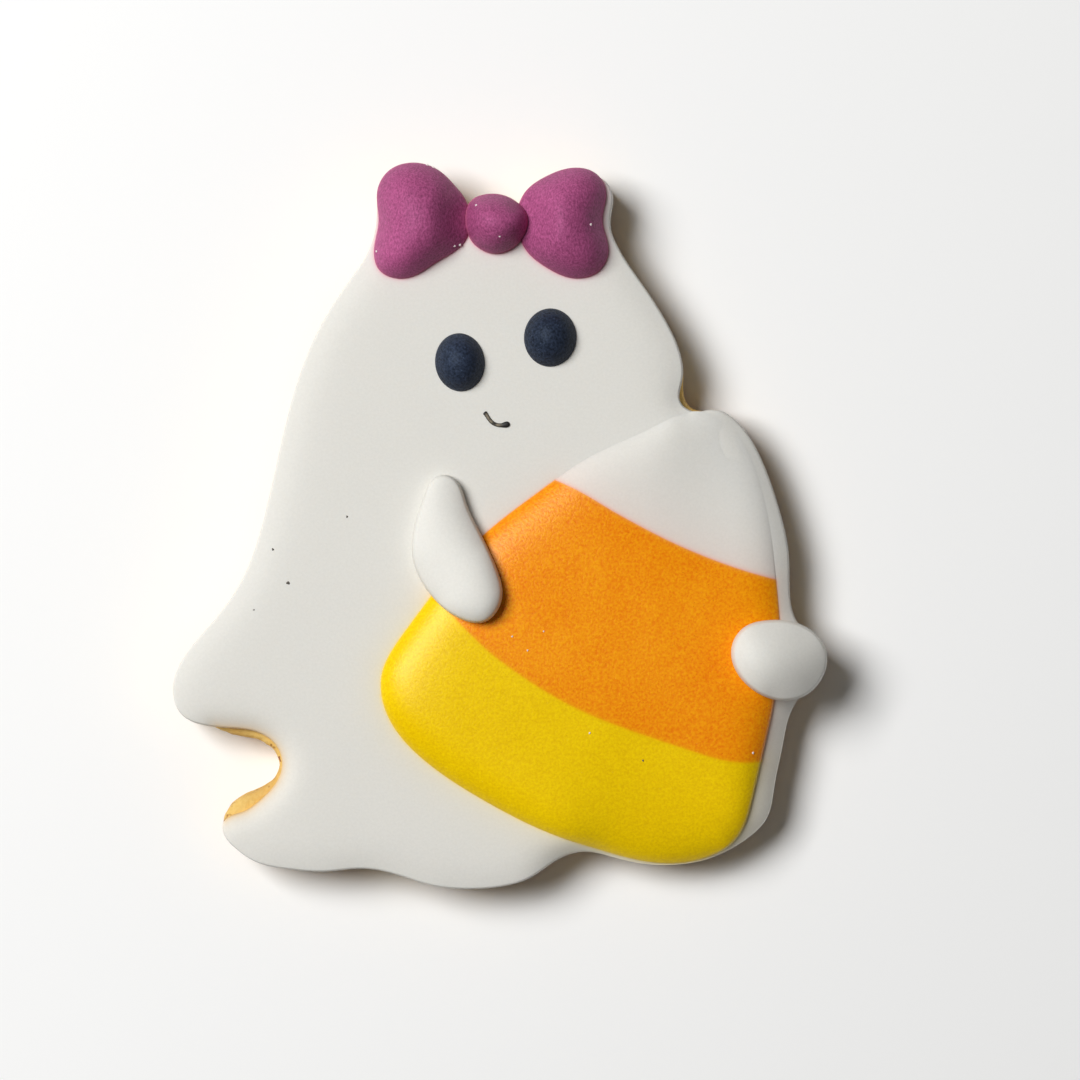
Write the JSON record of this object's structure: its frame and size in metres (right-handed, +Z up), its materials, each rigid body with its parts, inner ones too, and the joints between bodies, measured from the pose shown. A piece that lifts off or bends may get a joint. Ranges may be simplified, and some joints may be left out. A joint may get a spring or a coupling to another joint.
{
  "type": "iced sugar cookie",
  "caption": "Iced sugar cookie cut as a ghost with a plum bow, hugging a big sweet banded white, orange and yellow in domed icing.",
  "frame": {"origin": "on the underside, below the middle of the bounding box of the whole cookie", "axes": "+Z up, out of the iced face; +Y from the hem to the bow; +X to the side on which the ghost holds the sweet's wide end, the viewer's right"},
  "size_m": [0.0901, 0.1, 0.015],
  "materials": {
    "biscuit": "matte",
    "white_icing": "satin",
    "orange_icing": "satin",
    "yellow_icing": "satin",
    "plum_icing": "satin",
    "navy_icing": "satin",
    "dark_line": "matte"
  },
  "bodies": {
    "root": {"biscuit": "biscuit", "ghost_icing": "white_icing", "corn_tip": "white_icing", "corn_middle": "orange_icing", "corn_base": "yellow_icing", "arm_left": "white_icing", "hand_right": "white_icing", "bow_left": "plum_icing", "bow_right": "plum_icing", "bow_knot": "plum_icing", "eye_left": "navy_icing", "eye_right": "navy_icing", "smile": "dark_line"}
  },
  "joints": []
}
